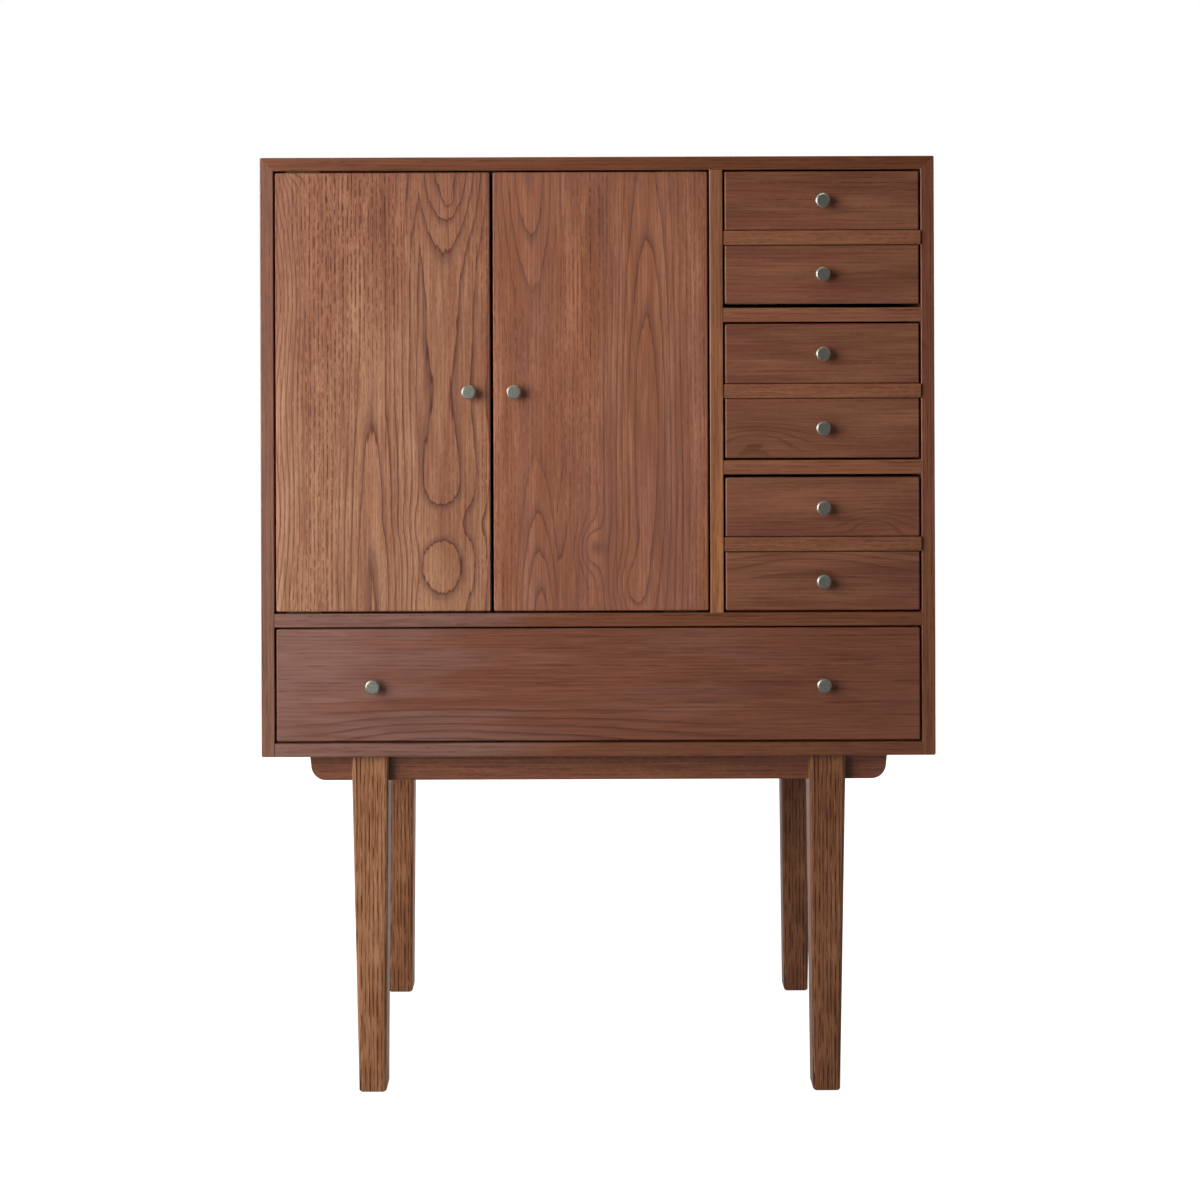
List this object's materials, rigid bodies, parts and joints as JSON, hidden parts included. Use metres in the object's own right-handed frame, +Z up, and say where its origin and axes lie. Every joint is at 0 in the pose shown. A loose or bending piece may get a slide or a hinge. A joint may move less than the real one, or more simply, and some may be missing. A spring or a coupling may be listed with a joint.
{
  "type": "commode chest",
  "caption": "Wooden chest on a stand of tapered legs, with hinged doors beside a column of narrow drawers with split fronts, over a wide drawer",
  "frame": {"origin": "on the floor, under the middle of the chest's overall box, knobs included", "axes": "+X to the right seen from the front, +Y to the back so that the doors face -Y, +Z up"},
  "size_m": [0.9, 0.414, 1.253],
  "materials": {
    "case_wood": "satin oiled walnut",
    "door_wood": "satin oiled walnut",
    "drawer_wood": "satin oiled walnut",
    "leg_wood": "satin oiled walnut",
    "inner_wood": "plain sanded beech",
    "back_panel_wood": "sanded plywood",
    "knob_metal": "turned, dull grey patina",
    "hinge_brass": "milled, browned",
    "screw_steel": "zinc plated",
    "catch_plastic": "moulded"
  },
  "bodies": {
    "case": {"top_panel": "case_wood", "left_side": "case_wood", "right_side": "case_wood", "bottom_panel": "case_wood", "middle_shelf": "case_wood", "upright_divider": "case_wood", "upper_drawer_shelf": "case_wood", "lower_drawer_shelf": "case_wood", "front_beam": "leg_wood", "rear_beam": "leg_wood", "left_cross_rail": "leg_wood", "right_cross_rail": "leg_wood", "front_left_leg": "leg_wood", "front_right_leg": "leg_wood", "rear_left_leg": "leg_wood", "rear_right_leg": "leg_wood", "back_panel": "back_panel_wood", "cabinet_shelf": "inner_wood", "drawer_runners": "inner_wood", "shelf_cleats": "inner_wood", "hinge_case_leaves": "hinge_brass", "door_catch": "catch_plastic"},
    "left_door": {"left_door_panel": "door_wood", "left_door_knob": "knob_metal", "left_door_hinge_leaves": "hinge_brass", "left_door_strike_plate": "screw_steel"},
    "right_door": {"right_door_panel": "door_wood", "right_door_knob": "knob_metal", "right_door_hinge_leaves": "hinge_brass", "right_door_strike_plate": "screw_steel"},
    "upper_drawer": {"upper_drawer_front": "drawer_wood", "upper_drawer_knobs": "knob_metal", "upper_drawer_false_rail": "drawer_wood", "upper_drawer_left_side": "inner_wood", "upper_drawer_right_side": "inner_wood", "upper_drawer_back": "inner_wood", "upper_drawer_bottom": "inner_wood"},
    "middle_drawer": {"middle_drawer_front": "drawer_wood", "middle_drawer_knobs": "knob_metal", "middle_drawer_false_rail": "drawer_wood", "middle_drawer_left_side": "inner_wood", "middle_drawer_right_side": "inner_wood", "middle_drawer_back": "inner_wood", "middle_drawer_bottom": "inner_wood"},
    "lower_drawer": {"lower_drawer_front": "drawer_wood", "lower_drawer_knobs": "knob_metal", "lower_drawer_false_rail": "drawer_wood", "lower_drawer_left_side": "inner_wood", "lower_drawer_right_side": "inner_wood", "lower_drawer_back": "inner_wood", "lower_drawer_bottom": "inner_wood"},
    "wide_drawer": {"wide_drawer_front": "drawer_wood", "wide_drawer_knobs": "knob_metal", "wide_drawer_muntin": "inner_wood", "wide_drawer_left_side": "inner_wood", "wide_drawer_right_side": "inner_wood", "wide_drawer_back": "inner_wood", "wide_drawer_bottom": "inner_wood"}
  },
  "joints": [
    {"name": "left_door_hinge", "type": "hinge", "parent": "case", "child": "left_door", "pos_m": [-0.4116, -0.186, 0.9395], "axis": [0, 0, -1], "range_deg": [0, 90]},
    {"name": "right_door_hinge", "type": "hinge", "parent": "case", "child": "right_door", "pos_m": [0.1296, -0.186, 0.9395], "axis": [0, 0, 1], "range_deg": [0, 90]},
    {"name": "upper_drawer_slide", "type": "slide", "parent": "case", "child": "upper_drawer", "axis": [0, -1, 0], "range_m": [0, 0.25]},
    {"name": "middle_drawer_slide", "type": "slide", "parent": "case", "child": "middle_drawer", "axis": [0, -1, 0], "range_m": [0, 0.25]},
    {"name": "lower_drawer_slide", "type": "slide", "parent": "case", "child": "lower_drawer", "axis": [0, -1, 0], "range_m": [0, 0.25]},
    {"name": "wide_drawer_slide", "type": "slide", "parent": "case", "child": "wide_drawer", "axis": [0, -1, 0], "range_m": [0, 0.25]}
  ]
}
